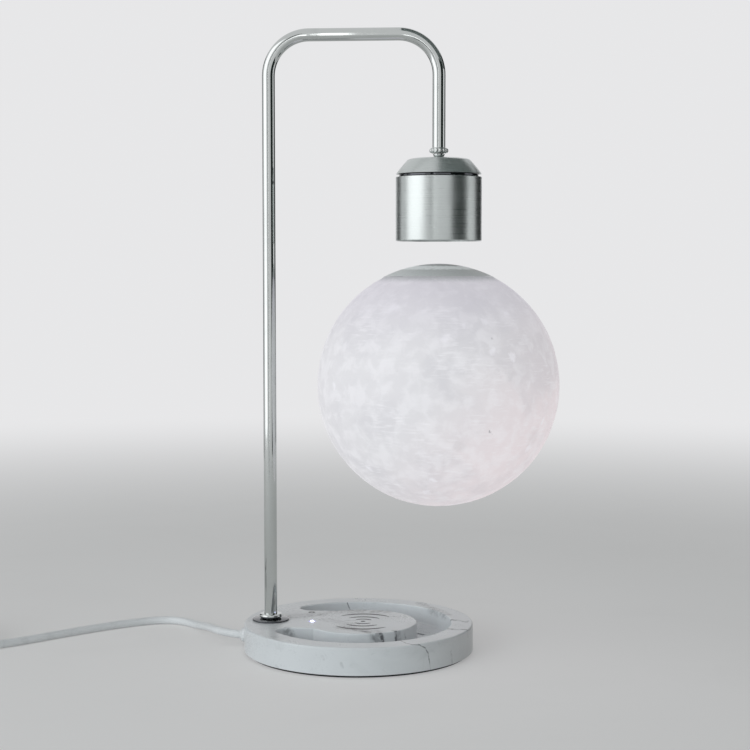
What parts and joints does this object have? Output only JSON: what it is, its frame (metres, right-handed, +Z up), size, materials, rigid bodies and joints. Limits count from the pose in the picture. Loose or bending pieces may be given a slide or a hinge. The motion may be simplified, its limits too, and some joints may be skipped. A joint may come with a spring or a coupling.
{
  "type": "magnetic levitation lamp",
  "caption": "Table lamp whose globe floats below a magnet head on an arched tube, above a round base with a sunken tray and charging pad.",
  "frame": {"origin": "centre of the underside of the foot disc, on the surface that the lamp stands on", "axes": "+Z up, +X from the post towards the floating globe, so that -Y is the front"},
  "size_m": [0.4426, 0.1498, 0.3859],
  "materials": {
    "marble_look": "polished white composite with faint gray clouds and veins",
    "foot_rubber": "matt",
    "black_plastic": "moulded",
    "white_plastic": "moulded",
    "steel": "zinc plated",
    "iron_core": "turned",
    "magnet_metal": "nickel plated",
    "chrome_tube": "polished",
    "dark_chrome": "polished, dark",
    "satin_aluminium": "satin, brushed round",
    "copper_winding": "enamelled copper",
    "ferrite": "sintered, matt",
    "circuit_board": "solder mask",
    "moon_plastic": "printed in layers, frosted",
    "clear_plastic": "clear",
    "light_emitter": "phosphor",
    "cord_plastic": "satin",
    "wire_insulation": "satin",
    "plug_metal": "nickel plated",
    "tie_rubber": "matt"
  },
  "bodies": {
    "stand": {"arch_connector": "white_plastic", "arch_tube": "chrome_tube", "ballast_plate": "steel", "base_bottom_plate": "black_plastic", "base_screw_1": "steel", "base_screw_2": "steel", "base_screw_3": "steel", "base_shell": "marble_look", "cable_gland": "cord_plastic", "cap_lock_nut": "steel", "charging_coil": "copper_winding", "cord_plug_barrel": "plug_metal", "cord_plug_body": "cord_plastic", "cord_plug_boot": "cord_plastic", "cord_tie_1": "tie_rubber", "cord_tie_2": "tie_rubber", "ferrite_shield": "ferrite", "foot_collar": "chrome_tube", "foot_pad": "foot_rubber", "head_bottom_cover": "black_plastic", "head_cap": "satin_aluminium", "head_coupling": "chrome_tube", "head_housing": "satin_aluminium", "head_ring_nut": "chrome_tube", "head_screw_1": "steel", "head_screw_2": "steel", "head_screw_3": "steel", "head_spacer_ring": "chrome_tube", "indicator_diode": "light_emitter", "indicator_light_pipe": "clear_plastic", "magnet_bobbin": "white_plastic", "magnet_bracket": "steel", "magnet_core": "iron_core", "magnet_winding": "copper_winding", "main_circuit_board": "circuit_board", "position_sensor": "black_plastic", "position_sensor_board": "circuit_board", "post_flange": "dark_chrome", "power_connector": "white_plastic", "power_cord": "cord_plastic", "power_cord_coil": "cord_plastic", "power_lead": "wire_insulation", "power_sender_coil": "copper_winding", "touch_sensor_plate": "copper_winding", "tube_lock_nut": "steel", "tube_wiring": "wire_insulation"},
    "float_magnet": {"levitation_magnet": "magnet_metal"},
    "moon": {"moon_shell": "moon_plastic", "moon_lid": "moon_plastic", "pole_cap": "moon_plastic", "magnet_holder": "white_plastic", "power_receiver_coil": "copper_winding", "receiver_board": "circuit_board", "light_stem": "satin_aluminium", "light_board": "white_plastic", "light_diode": "light_emitter", "moon_screw_1": "steel", "moon_screw_2": "steel", "moon_screw_3": "steel"}
  },
  "joints": [
    {"name": "float_height", "type": "slide", "parent": "stand", "child": "float_magnet", "axis": [0, 0, 1], "range_m": [-0.073, 0.0138], "stiffness_N_per_m": 90, "springref_m": 0.0258},
    {"name": "globe_spin", "type": "hinge", "parent": "float_magnet", "child": "moon", "pos_m": [0.0495, 0, 0.167], "axis": [0, 0, 1], "continuous": true}
  ]
}
